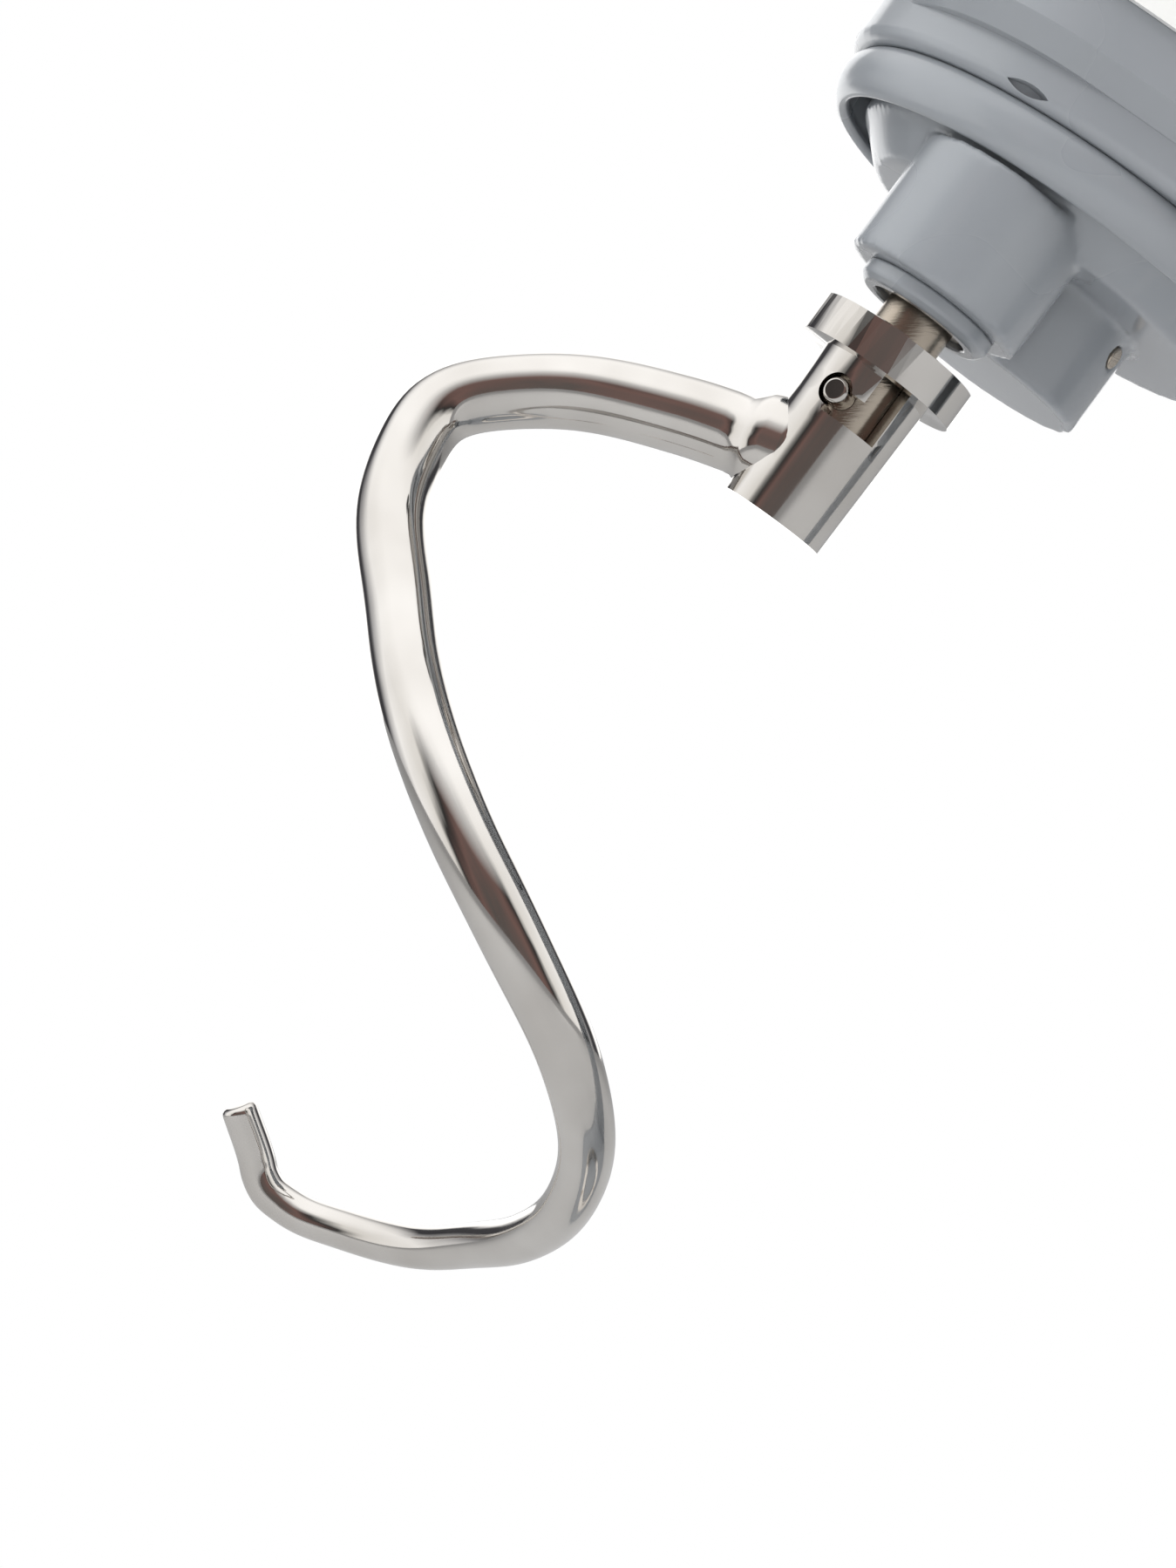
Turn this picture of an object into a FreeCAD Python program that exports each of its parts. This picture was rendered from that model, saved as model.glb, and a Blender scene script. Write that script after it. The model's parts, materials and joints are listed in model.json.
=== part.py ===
import FreeCAD, Part
import math
import os

import Sketcher
from FreeCAD import Placement, Rotation, Vector

# Tilt-head stand mixer. +Z is up, the front of the mixer faces -X and z = 0 is the table.
# The head is modelled closed, in its own frame with the origin on the hinge axis, and every
# head piece is then turned about that axis into the raised position.

# ---------------------------------------------------------------- driving dimensions (mm, deg)
dimensions = {
    # where the main axes lie
    "hingeX": 112, "hingeZ": 290, "armLength": 225, "tilt": 36.4,
    "collarDrop": 46, "orbit": 32, "orbitTurn": -110,
    # fits
    "runningGap": 0.05, "seatGap": 0.3,
    # foot and column
    "footRadius": 100, "tailRadius": 72, "tailInset": 10, "footRise": 5, "footHeight": 33,
    "footRound": 14, "baseWall": 5, "columnFront": 44, "columnRear": 44, "columnHalf": 45,
    "columnFlare": 14, "columnDrop": 22, "coverThick": 2.5,
    # rubber feet
    "padRadius": 11, "padStem": 4, "postRadius": 9.5, "padSpreadFront": 66, "padSpreadRear": 55,
    # bowl clamp plate
    "plateRadius": 66, "plateThick": 6, "plateRecess": 3, "bowlRadius": 52, "plateLip": 2.5,
    "bayonetWidth": 20, "plateScrewCircle": 60, "plateScrewRadius": 2.5,
    # hinge
    "earInner": 30, "earOuter": 45, "earRadius": 14.5, "pinRadius": 5, "pinHead": 8,
    "lugRadius": 13, "neckHalf": 27, "neckLength": 64, "ledgeDepth": 12, "screwRadius": 3,
    # cord gland
    "glandRadius": 5.5, "glandFlange": 8, "glandBore": 3.5, "glandHeight": 10, "glandOut": 3,
    # head castings
    "headHalf": 56, "noseReach": 50, "noseCorner": 42, "tailReach": 88, "tailCorner": 40,
    "caseBottom": 1.5, "seam": 21, "flangeThick": 5, "headTop": 114, "caseWall": 4.5,
    "blockRear": 60, "shellWall": 4, "coverSplit": 45, "coverGap": 0.3,
    # lip, ring gear seat and drip ring below the lower casting
    "lipRadius": 51.8, "lipHeight": 6.8, "lipRear": 95, "drainRound": 9, "seatBore": 46, "seatWall": 3.5,
    "webBottom": 12, "webThick": 4, "skirtInner": 46, "skirtOuter": 50.4, "skirtHeight": 9,
    # trim band
    "bandBottom": 14.3, "bandTop": 28, "bandThick": 1.5, "bandGap": 0.25,
    # attachment barrel at the front
    "hubHeight": 51, "barrelRadius": 22, "barrelBore": 14, "barrelReach": 66, "barrelRear": 40,
    "capThick": 2.6, "capPinRadius": 1.6, "knobRadius": 9, "knobStem": 3,
    # speed control and lock
    "leverX": -50, "leverTravel": 40, "leverHeight": 38, "plateHalf": 8, "leverKnob": 7,
    "lockX": -78, "lockHeight": 7.5, "lockShaft": 3.5, "lockArm": 24,
    # motor
    "motorHeight": 66, "rotorRadius": 22, "statorRadius": 38, "airGap": 0.6,
    "statorFront": -132, "statorRear": -80, "motorShaft": 4, "fanRadius": 33,
    "commutatorRadius": 12, "wormRadius": 9, "bearingRadius": 9, "bracketThick": 6,
    "frontBracket": -200, "rearBracket": -36,
    # gear train
    "gearModule": 1.6, "ringTeeth": 52, "pinionTeeth": 12, "gearHeight": 9, "toothShare": 0.36,
    "centreGear": 44, "wormGear": 17, "driveGap": 0.3, "gearLevel": 19,
    "gearFace": 8, "bevelOuter": 26, "bevelInner": 16, "bevelRise": 8,
    "wormShaftX": -175, "wormShaftRadius": 5,
    # planetary
    "centreShaft": 6, "discRadius": 43, "discBottom": 33, "discTop": 41, "domeDrop": 6,
    "domeRadius": 36, "hubBottom": 8.9, "centreLobe": 20, "agitatorLobe": 16.5, "webHalf": 9,
    "lobeRound": 1.6, "bossRadius": 12.5, "bossHeight": 3.5, "bossBore": 9, "hubPin": 2,
    # agitator shaft and dough hook
    "shaftRadius": 6.25, "shaftTail": 26, "pinDrop": 12.9, "crossPin": 2.3, "crossHalf": 10.1,
    "pinTurn": -110.7, "collarRadius": 14.7, "collarThick": 6.7, "collarLip": 1.5,
    "lipDiameter": 18, "socketTop": 10.2, "socketFoot": 9.5, "socketLength": 35.8,
    "socketBore": 28, "slotHeight": 6, "slotTravel": 48, "slotSlack": 0.6,
}

doc = FreeCAD.newDocument("StandMixer")
sheet = doc.addObject("Spreadsheet::Sheet", "Dim")
for row, (alias, number) in enumerate(dimensions.items(), start=1):
    sheet.set(f"A{row}", alias)
    sheet.set(f"B{row}", str(number))
    sheet.setAlias(f"B{row}", alias)
doc.recompute()


def size(expression):
    """The number that an expression of the sheet's aliases gives."""
    return float(getattr(sheet.evalExpression(in_sheet(expression)), "Value",
                         sheet.evalExpression(in_sheet(expression))))


def in_sheet(expression):
    """An expression with each alias written as a reference to the sheet."""
    text = str(expression)
    words = []
    word = ""
    for letter in text + " ":
        if letter.isalnum() or letter == "_":
            word += letter
            continue
        words.append(f"Dim.{word}" if word in dimensions else word)
        words.append(letter)
        word = ""
    return "".join(words).strip()


# ---------------------------------------------------------------- frames of the moving groups
hinge = Vector(size("hingeX"), 0, size("hingeZ"))
base_frame = Placement()
head_frame = Placement(hinge, Rotation(Vector(0, 1, 0), size("tilt")))
planet_frame = head_frame * Placement(
    Vector(-size("armLength"), 0, -size("collarDrop")),
    Rotation(Vector(0, 0, 1), size("orbitTurn")))
agitator_frame = planet_frame * Placement(
    Vector(size("orbit"), 0, 0), Rotation(Vector(0, 0, 1), -size("orbitTurn")))

along_x = Rotation(Vector(0, 1, 0), 90)
along_y = Rotation(Vector(1, 0, 0), -90)
along_z = Rotation()
parts = []


# ---------------------------------------------------------------- helpers
def keep(thing, label, frame):
    """Registers a finished sub-part under its node name and puts it into its frame."""
    thing.Label = label
    thing.Placement = frame
    parts.append(thing)
    return thing


def turned(label, outline, frame, at=(0, 0, 0), axis=along_z, finish=0):
    """A turned piece: its outline (radius, height) is revolved about its own Z axis."""
    body = doc.addObject("PartDesign::Body", label)
    plane = [item for item in body.Origin.OriginFeatures if item.Role == "XZ_Plane"][0]
    sketch = body.newObject("Sketcher::SketchObject", f"{label}Outline")
    sketch.AttachmentSupport = (plane, [""])
    sketch.MapMode = "FlatFace"
    corners = [Vector(size(radius), size(height), 0) for radius, height in outline]
    for index, corner in enumerate(corners):
        sketch.addGeometry(Part.LineSegment(corner, corners[(index + 1) % len(corners)]))
    for index in range(len(corners)):
        before = (index - 1) % len(corners)
        sketch.addConstraint(Sketcher.Constraint("Coincident", before, 2, index, 1))
    for index, (radius, height) in enumerate(outline):
        for kind, text, number in (("DistanceX", radius, corners[index].x),
                                   ("DistanceY", height, corners[index].y)):
            place = sketch.addConstraint(
                Sketcher.Constraint(kind, -1, 1, index, 1, number))
            sketch.setExpression(f"Constraints[{place}]", in_sheet(text))
    spin = body.newObject("PartDesign::Revolution", f"{label}Turn")
    spin.Profile = sketch
    spin.ReferenceAxis = (sketch, ["V_Axis"])
    spin.Angle = 360
    doc.recompute()
    if finish:
        chamfer = body.newObject("PartDesign::Chamfer", f"{label}Edges")
        outer = max(edge.Curve.Radius for edge in spin.Shape.Edges
                    if isinstance(edge.Curve, Part.Circle))
        names = [f"Edge{number + 1}" for number, edge in enumerate(spin.Shape.Edges)
                 if isinstance(edge.Curve, Part.Circle) and edge.Curve.Radius > outer - 0.01]
        chamfer.Base = (spin, names)
        chamfer.Size = finish
    local = Placement(Vector(*[size(value) for value in at]), axis)
    return keep(body, label, frame * local)


def bind(thing, **sizes):
    """Binds properties of a primitive to expressions of the sheet."""
    for name, text in sizes.items():
        thing.setExpression(name, in_sheet(text))


def put(thing, at, axis):
    thing.Placement = Placement(Vector(*[size(value) for value in at]), axis)
    for letter, text in zip("xyz", at):
        thing.setExpression(f"Placement.Base.{letter}", in_sheet(text))
    return thing


def rod(radius, height, at=(0, 0, 0), axis=along_z):
    thing = doc.addObject("Part::Cylinder", "Rod")
    bind(thing, Radius=radius, Height=height)
    return put(thing, at, axis)


def cone(radius1, radius2, height, at=(0, 0, 0), axis=along_z):
    thing = doc.addObject("Part::Cone", "Cone")
    bind(thing, Radius1=radius1, Radius2=radius2, Height=height)
    return put(thing, at, axis)


def block(length, width, height, at, axis=along_z):
    """A box whose corner of least x, y and z is at the given place."""
    thing = doc.addObject("Part::Box", "Block")
    bind(thing, Length=length, Width=width, Height=height)
    return put(thing, at, axis)


def solid(shape, name="Solid"):
    thing = doc.addObject("Part::Feature", name)
    thing.Shape = shape
    return thing


def joined(things):
    if len(things) == 1:
        return things[0]
    fuse = doc.addObject("Part::MultiFuse", "Joined")
    fuse.Shapes = things
    return fuse


def less(thing, tools):
    cut = doc.addObject("Part::Cut", "Less")
    cut.Base = thing
    cut.Tool = joined(tools)
    return cut


def common(thing, other):
    both = doc.addObject("Part::Common", "Common")
    both.Base = thing
    both.Tool = other
    return both


def egg_outline(inset, level):
    """The foot's outline: two circles, one under the bowl and one at the tail, and tangents."""
    front_x = size("hingeX - armLength")
    rear_x = size("hingeX - tailInset")
    front_r = size("footRadius") - inset
    rear_r = size("tailRadius") - inset
    lean = math.asin((front_r - rear_r) / (rear_x - front_x))
    normal = Vector(math.sin(lean), math.cos(lean), 0)
    front = Vector(front_x, 0, level)
    rear = Vector(rear_x, 0, level)
    mirror = Vector(normal.x, -normal.y, 0)
    a = front + normal * front_r
    b = rear + normal * rear_r
    c = rear + mirror * rear_r
    d = front + mirror * front_r
    return Part.Wire([
        Part.LineSegment(a, b).toShape(),
        Part.Arc(b, rear + Vector(rear_r, 0, 0), c).toShape(),
        Part.LineSegment(c, d).toShape(),
        Part.Arc(d, front - Vector(front_r, 0, 0), a).toShape()])


def round_box_outline(x0, x1, half, corner, level, rear_corner=None):
    """A rectangle with rounded corners in plan, symmetric about y = 0."""
    tail = corner if rear_corner is None else rear_corner
    edges = []
    places = [(x0, half, corner, 1, -1), (x1, half, tail, -1, -1),
              (x1, -half, tail, -1, 1), (x0, -half, corner, 1, 1)]
    arcs = []
    for number, (x, y, radius, dx, dy) in enumerate(places):
        middle = Vector(x + dx * radius, y + dy * radius, level)
        beside = Vector(x, y + dy * radius, level)
        above = Vector(x + dx * radius, y, level)
        slant = radius * math.sqrt(0.5)
        between = middle + Vector(-dx * slant, -dy * slant, 0)
        first, last = (beside, above) if number % 2 == 0 else (above, beside)
        arcs.append((first, between, last))
    for number, (first, between, last) in enumerate(arcs):
        edges.append(Part.Arc(first, between, last).toShape())
        follow = arcs[(number + 1) % 4][0]
        if (follow - last).Length > 0.001:
            edges.append(Part.LineSegment(last, follow).toShape())
    return Part.Wire(edges)


def prism(wire, height):
    return Part.Face(wire).extrude(Vector(0, 0, height))


# ---------------------------------------------------------------- base
bowl_x = size("hingeX - armLength")
foot_top = size("footRise + footHeight")


def pad_places():
    """The four rubber feet, two under the bowl and two under the column."""
    spots = []
    for x, spread in (("hingeX - armLength - 30", "padSpreadFront"),
                      ("hingeX + 10", "padSpreadRear")):
        for side in (-1, 1):
            spots.append((x, f"{side} * {spread}"))
    return spots


def column_outline(level, flare, inset):
    x0 = size("hingeX - columnFront") - flare + inset
    x1 = size("hingeX + columnRear") + flare * 0.8 - inset
    half = size("columnHalf") + flare * 0.8 - inset
    return round_box_outline(x0, x1, half, 24 - inset, level)


def column_loft(inset, bottom, top):
    """The column narrows in a smooth sweep from the foot to the hinge ears."""
    flare = size("columnFlare")
    stations = []
    for share in (0, 0.2, 0.5, 1):
        level = bottom + (top - bottom) * share
        stations.append(column_outline(level, flare * (1 - share) ** 2.5, inset))
    return Part.makeLoft(stations, True)


def make_base_casting():
    rise, wall = size("footRise"), size("baseWall")
    foot = prism(egg_outline(0, rise), size("footHeight"))
    rim = [edge for edge in foot.Edges
           if abs(edge.BoundBox.ZMin - foot_top) < 0.01 and edge.BoundBox.ZLength < 0.01]
    foot = foot.makeFillet(size("footRound"), rim)
    column_top = size("hingeZ - columnDrop")
    outside = foot.fuse(column_loft(0, foot_top - 8, column_top))
    cavity = prism(egg_outline(wall, rise - 1), foot_top - wall - rise + 1)
    cavity = cavity.fuse(column_loft(wall, foot_top - 9, column_top - wall))
    casting = outside.cut(cavity)
    posts = []
    for x, y in pad_places():
        post = Part.makeCylinder(size("postRadius"), foot_top - rise - 6,
                                 Vector(size(x), size(y), size("footRise + coverThick")))
        posts.append(post)
    reach = prism(egg_outline(1, rise), size("footHeight") - 4)
    posts = [post.common(reach) for post in posts]
    casting = casting.fuse(posts)
    casting = solid(casting, "BaseShell")
    ears = []
    for side in (-1, 1):
        low = f"{side} * earInner - {(1 - side) // 2} * (earOuter - earInner)"
        ears.append(rod("earRadius", "earOuter - earInner", ("hingeX", low, "hingeZ"), along_y))
        ears.append(block("2 * earRadius", "earOuter - earInner", "columnDrop + 6",
                          ("hingeX - earRadius", low, "hingeZ - columnDrop - 6")))
    ledge = block("ledgeDepth", "2 * neckHalf - 6", "columnDrop - lugRadius + 0.7",
                  ("hingeX - columnFront + 3", "3 - neckHalf", "hingeZ - columnDrop - 4"))
    outer = joined([casting] + ears + [ledge])
    tools = [
        rod("pinRadius + runningGap", "2 * earOuter + 2", ("hingeX", "-earOuter - 1", "hingeZ"),
            along_y),
        rod("pinHead + seatGap", "3.3", ("hingeX", "-earOuter - 0.3", "hingeZ"), along_y),
        rod("plateRadius + seatGap", "20",
            ("hingeX - armLength", "0", "footRise + footHeight - plateRecess")),
        rod("screwRadius + runningGap", "16",
            ("hingeX - columnFront + 3 + ledgeDepth / 2", "0", "hingeZ - lugRadius - 17")),
        rod("glandRadius + seatGap", "baseWall + 12",
            ("hingeX - tailInset + tailRadius - baseWall - 6", "0", "footRise + glandHeight"),
            along_x),
        rod("glandFlange + seatGap", "5",
            ("hingeX - tailInset + tailRadius - 0.8", "0", "footRise + glandHeight"), along_x),
    ]
    for turn in (60, 180, 300):
        x, y = plate_screw_place(turn)
        tools.append(rod("plateScrewRadius + runningGap", "14",
                         (x, y, "footRise + footHeight - 13")))
    for x, y in pad_places():
        tools.append(rod("2.1", "8", (x, y, "footRise + coverThick")))
    keep(less(outer, tools), "base_casting", base_frame)


def plate_screw_place(turn):
    way = math.radians(turn)
    return (f"hingeX - armLength + plateScrewCircle * {math.cos(way):.6f}",
            f"plateScrewCircle * {math.sin(way):.6f}")


def make_bowl_plate():
    seat = "footRise + footHeight - plateRecess"
    disc = rod("plateRadius", "plateThick", ("hingeX - armLength", "0", seat))
    tools = [rod("bowlRadius - 5", "plateThick + 2",
                 ("hingeX - armLength", "0", f"{seat} - 1")),
             rod("bowlRadius", "plateThick - plateLip - 1.5",
                 ("hingeX - armLength", "0", f"{seat} + 1.5"))]
    for turn in (0, 120, 240):
        notch = doc.addObject("Part::Box", "Bayonet")
        bind(notch, Length="bowlRadius", Width="bayonetWidth", Height="plateThick")
        way = Rotation(Vector(0, 0, 1), turn)
        corner = way.multVec(Vector(0, -size("bayonetWidth") / 2, 0))
        notch.Placement = Placement(
            Vector(bowl_x + corner.x, corner.y, foot_top - size("plateRecess") + 1.5), way)
        tools.append(notch)
    for turn in (60, 180, 300):
        x, y = plate_screw_place(turn)
        tools.append(rod("plateScrewRadius + runningGap", "plateThick + 2", (x, y, f"{seat} - 1")))
        tools.append(cone("plateScrewRadius + runningGap", "2 * plateScrewRadius + 0.4",
                          "plateScrewRadius + 0.3",
                          (x, y, f"{seat} + plateThick - plateScrewRadius - 0.25")))
    keep(less(disc, tools), "bowl_plate", base_frame)
    for number, turn in enumerate((60, 180, 300), start=1):
        x, y = plate_screw_place(turn)
        turned(f"bowl_plate_screw_{number}",
               [("0", "0"), ("plateScrewRadius", "0"), ("plateScrewRadius", "13.5"),
                ("2 * plateScrewRadius", "13.5 + plateScrewRadius"),
                ("0", "13.5 + plateScrewRadius")],
               base_frame, (x, y, f"{seat} + plateThick - 13.8 - plateScrewRadius"))


def make_base_fittings():
    cover = solid(prism(egg_outline(size("baseWall + seatGap"), size("footRise")),
                        size("coverThick")), "CoverBlank")
    holes = [rod("padStem + runningGap", "coverThick + 2", (x, y, "footRise - 1"))
             for x, y in pad_places()]
    keep(less(cover, holes), "base_cover", base_frame)
    for number, (x, y) in enumerate(pad_places(), start=1):
        turned(f"rubber_foot_{number}",
               [("0", "0"), ("padRadius - 1.5", "0"), ("padRadius", "1.5"),
                ("padRadius", "footRise"), ("padStem", "footRise"),
                ("padStem", "footRise + coverThick"), ("2", "footRise + coverThick"),
                ("2", "footRise + coverThick + 7"), ("0", "footRise + coverThick + 7")],
               base_frame, (x, y, "0"))
    turned("hinge_pin",
           [("0", "0"), ("pinHead", "0"), ("pinHead", "3"), ("pinRadius", "3"),
            ("pinRadius", "2 * earOuter - 0.5"), ("pinRadius - 0.5", "2 * earOuter"),
            ("0", "2 * earOuter")],
           base_frame, ("hingeX", "-earOuter", "hingeZ"), along_y)
    turned("height_screw",
           [("0", "0"), ("screwRadius", "0"), ("screwRadius", "13.5"),
            ("screwRadius + 2", "13.5"), ("screwRadius + 2", "15.5"), ("0", "16.2")],
           base_frame,
           ("hingeX - columnFront + 3 + ledgeDepth / 2", "0", "hingeZ - lugRadius - 16.5"))
    turned("cord_gland",
           [("glandBore", "0"), ("glandRadius", "0"), ("glandRadius", "baseWall + 2"),
            ("glandFlange", "baseWall + 2"), ("glandFlange", "baseWall + 2 + glandOut"),
            ("glandBore + 1", "baseWall + 4 + glandOut"), ("glandBore", "baseWall + 4 + glandOut")],
           base_frame,
           ("hingeX - tailInset + tailRadius - baseWall - 2.8", "0", "footRise + glandHeight"),
           along_x)


# ---------------------------------------------------------------- head castings
def head_outline(grow, level):
    """The head's plan outline, a square nose with round corners and a round tail."""
    return round_box_outline(
        -size("armLength + noseReach") - grow, size("tailReach") + grow,
        size("headHalf") + grow, size("noseCorner") + grow, level,
        size("tailCorner") + grow)


def head_section(x, half, top, inset):
    """One cross-section of the upper casting: flat below, a full round shape above."""
    bottom = size("seam")
    width = half - inset
    rise = top - inset - bottom
    points = []
    for step in range(13):
        way = math.pi * step / 12
        side = math.copysign(abs(math.cos(way)) ** (2 / 2.7), math.cos(way))
        points.append(Vector(x, width * side, bottom + rise * math.sin(way) ** (2 / 2.7)))
    curve = Part.BSplineCurve()
    curve.interpolate(points)
    return Part.Wire([curve.toShape(), Part.LineSegment(points[-1], points[0]).toShape()])


def head_stations():
    """Stations of the upper casting: distance along the head, half width and top."""
    nose = -size("armLength + noseReach")
    tail = size("tailReach")
    flat = size("headHalf - noseCorner")
    flat_tail = size("headHalf - tailCorner")
    stations = []
    for depth, fall in ((0.6, 30), (5, 20.5), (13, 12.5), (25, 7), (42, 3.5)):
        corner = size("noseCorner")
        half = flat + math.sqrt(corner ** 2 - max(corner - depth, 0) ** 2)
        stations.append((nose + depth, half, size("headTop") - fall))
    for x, fall in ((-170, 1), (-100, 0), (-30, 2), (20, 6)):
        stations.append((x, size("headHalf"), size("headTop") - fall))
    for depth, fall in ((28, 15), (13, 23.5), (5, 32), (0.6, 41)):
        corner = size("tailCorner")
        half = flat_tail + math.sqrt(corner ** 2 - max(corner - depth, 0) ** 2)
        stations.append((tail - depth, half, size("headTop") - fall))
    return stations


def head_loft(inset):
    stations = head_stations()
    if inset:
        stations = [station for station in stations[1:-1]]
    sections = [head_section(x, half, top, inset) for x, half, top in stations]
    return Part.makeLoft(sections, True)


head_skin = head_loft(0)
head_cavity = head_loft(size("shellWall"))


def within_cavity(shape):
    """What lies inside the upper casting, clear of its wall by the seat gap."""
    return shape.common(head_loft(size("shellWall + seatGap")))


def make_upper_casting():
    split = size("coverSplit")
    long = 400
    front_half = Part.makeBox(long, long, long, Vector(split - long, -long / 2, -long / 2))
    rear_half = Part.makeBox(long, long, long,
                             Vector(split + size("coverGap"), -long / 2, -long / 2))
    shell = solid(head_skin.cut(head_cavity).common(front_half), "UpperShell")
    tools = [
        rod("barrelRadius + runningGap", "60",
            ("-armLength - barrelReach - 5", "0", "hubHeight"), along_x),
        block("leverTravel + 8", "12", "5",
              ("leverX - 4", "headHalf - 8", "leverHeight - 2.5")),
        block("leverTravel + 20", "5", "2 * plateHalf + 0.6",
              ("leverX - 10", "headHalf - 1", "leverHeight - plateHalf - 0.3")),
    ]
    for side in (-1, 1):
        tools.append(rod("bearingRadius", "24",
                         ("rearBracket - 16", f"{side} * (headHalf - 4) - 12", "motorHeight"),
                         along_y))
    keep(less(shell, tools), "upper_casting", head_frame)
    cover = solid(head_skin.cut(head_cavity).common(rear_half), "CoverShell")
    slots = []
    for level in range(5):
        slots.append(block("12", "36", "3",
                           ("tailReach - 9", "-18", f"seam + 22 + {7 * level}")))
    slots.append(rod("screwRadius + runningGap", "30",
                     ("tailReach - 15", "0", "seam + 13"), along_x))
    keep(less(cover, slots), "rear_cover", head_frame)
    turned("rear_cover_screw",
           [("0", "0"), ("screwRadius", "0"), ("screwRadius", "10"),
            ("screwRadius + 2", "10"), ("screwRadius + 2", "11.5"), ("0", "12.6")],
           head_frame, ("tailReach - 9.8", "0", "seam + 13"), along_x)


def make_lower_casting():
    level, seam, wall = size("caseBottom"), size("seam"), size("caseWall")
    far = 400
    full = prism(head_outline(0, level), seam - level)
    front = full.common(Part.makeBox(far, far, far,
                                     Vector(-size("blockRear") - far, -far / 2, -far / 2)))
    corner_edges = []
    for edge in front.Edges:
        box = edge.BoundBox
        if box.ZLength < 0.01 and abs(box.ZMin - level) < 0.01 and isinstance(
                edge.Curve, Part.Circle):
            corner_edges.append(edge)
    front = front.makeChamfer(4, corner_edges)
    flange = prism(head_outline(0, seam - size("flangeThick")), size("flangeThick"))
    lip_bottom = level - size("lipHeight")
    lip = prism(round_box_outline(-size("armLength + lipRadius"), -size("lipRear"),
                                  size("lipRadius"), size("lipRadius") - 0.01, lip_bottom, 20),
                size("lipHeight") + 6)
    rounded = [edge for edge in lip.Edges
               if edge.BoundBox.ZLength < 0.01 and abs(edge.BoundBox.ZMin - lip_bottom) < 0.01]
    lip = lip.makeFillet(2.4, rounded)
    top, low = seam - 3, -size("lugRadius")
    side = [(-size("neckLength") - 34, level + 1), (-size("neckLength") + 8, low), (0, low),
            (0, top), (-size("neckLength") - 34, top)]
    corners = [Vector(x, -size("neckHalf"), z) for x, z in side]
    neck = Part.Face(Part.makePolygon(corners + corners[:1])).extrude(
        Vector(0, size("2 * neckHalf"), 0))
    lug = Part.makeCylinder(size("lugRadius"), size("2 * neckHalf"),
                            Vector(0, -size("neckHalf"), 0), Vector(0, 1, 0))
    rear_web = Part.makeBox(size("lugRadius"), size("2 * neckHalf"), seam - 3, Vector(
        0, -size("neckHalf"), 0))
    outer = solid(front.fuse([flange, lip, neck, lug, rear_web]), "LowerBlank")
    room = prism(head_outline(-wall, level + wall), seam)
    room = room.common(Part.makeBox(far, far, far, Vector(-size("blockRear + 6") - far,
                                                          -far / 2, -far / 2)))
    rear_room = prism(round_box_outline(-size("blockRear") - 8, size("tailReach") - wall,
                                        size("headHalf") - wall, 12, seam - 2, 34), 10)
    hollow = solid(room.fuse(rear_room), "Hollow")
    shell = less(outer, [hollow])
    tower = joined([
        shell,
        rod("seatBore + seatWall", "webBottom + webThick - caseBottom",
            ("-armLength", "0", "caseBottom")),
        rod("wormShaftRadius + 5", "webBottom + webThick - caseBottom",
            ("wormShaftX", "wormRadius + wormGear + driveGap", "caseBottom"))])
    drain = "caseBottom - lipHeight + 1.4"
    tools = [
        rod("seatBore", "webBottom - caseBottom + lipHeight + 1",
            ("-armLength", "0", "caseBottom - lipHeight - 1")),
        rod("bearingRadius + 4", "40", ("-armLength", "0", "0")),
        rod("wormShaftRadius + runningGap", "20",
            ("wormShaftX", "wormRadius + wormGear + driveGap", "caseBottom + 3")),
        rod("pinRadius + runningGap", "2 * neckHalf + 2", ("0", "-neckHalf - 1", "0"), along_y),
        rod("lockShaft + runningGap", "20", ("lockX", "-headHalf - 1", "lockHeight"), along_y),
        common(*[rod("drainRound", "7.5", ("-armLength - 17", "-lipRadius - 2", f"{drain} {lift}"),
                     along_y) for lift in ("+ drainRound - 0.9", "- drainRound + 0.9")]),
    ]
    keep(less(tower, tools), "lower_casting", head_frame)


def make_trim():
    low, high = size("bandBottom"), size("bandTop")
    outer = prism(head_outline(size("bandGap + bandThick"), low), high - low)
    inner = prism(head_outline(size("bandGap"), low - 1), high - low + 2)
    keep(solid(outer.cut(inner).cut(head_skin), "Band"), "trim_band", head_frame)
    turned("drip_ring",
           [("skirtInner", "0.8"), ("skirtInner + 0.8", "0"), ("skirtOuter - 2.6", "0.2"),
            ("skirtOuter - 1.4", "1.2"), ("skirtOuter - 0.4", "3.2"), ("skirtOuter", "5.2"),
            ("skirtOuter - 0.3", "skirtHeight - 1.6"), ("skirtOuter - 1.4", "skirtHeight"),
            ("skirtInner + 0.6", "skirtHeight"), ("skirtInner + 0.6", "2.5"),
            ("skirtInner", "1.7")],
           head_frame, ("-armLength", "0", "caseBottom - lipHeight - skirtHeight"))


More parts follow.
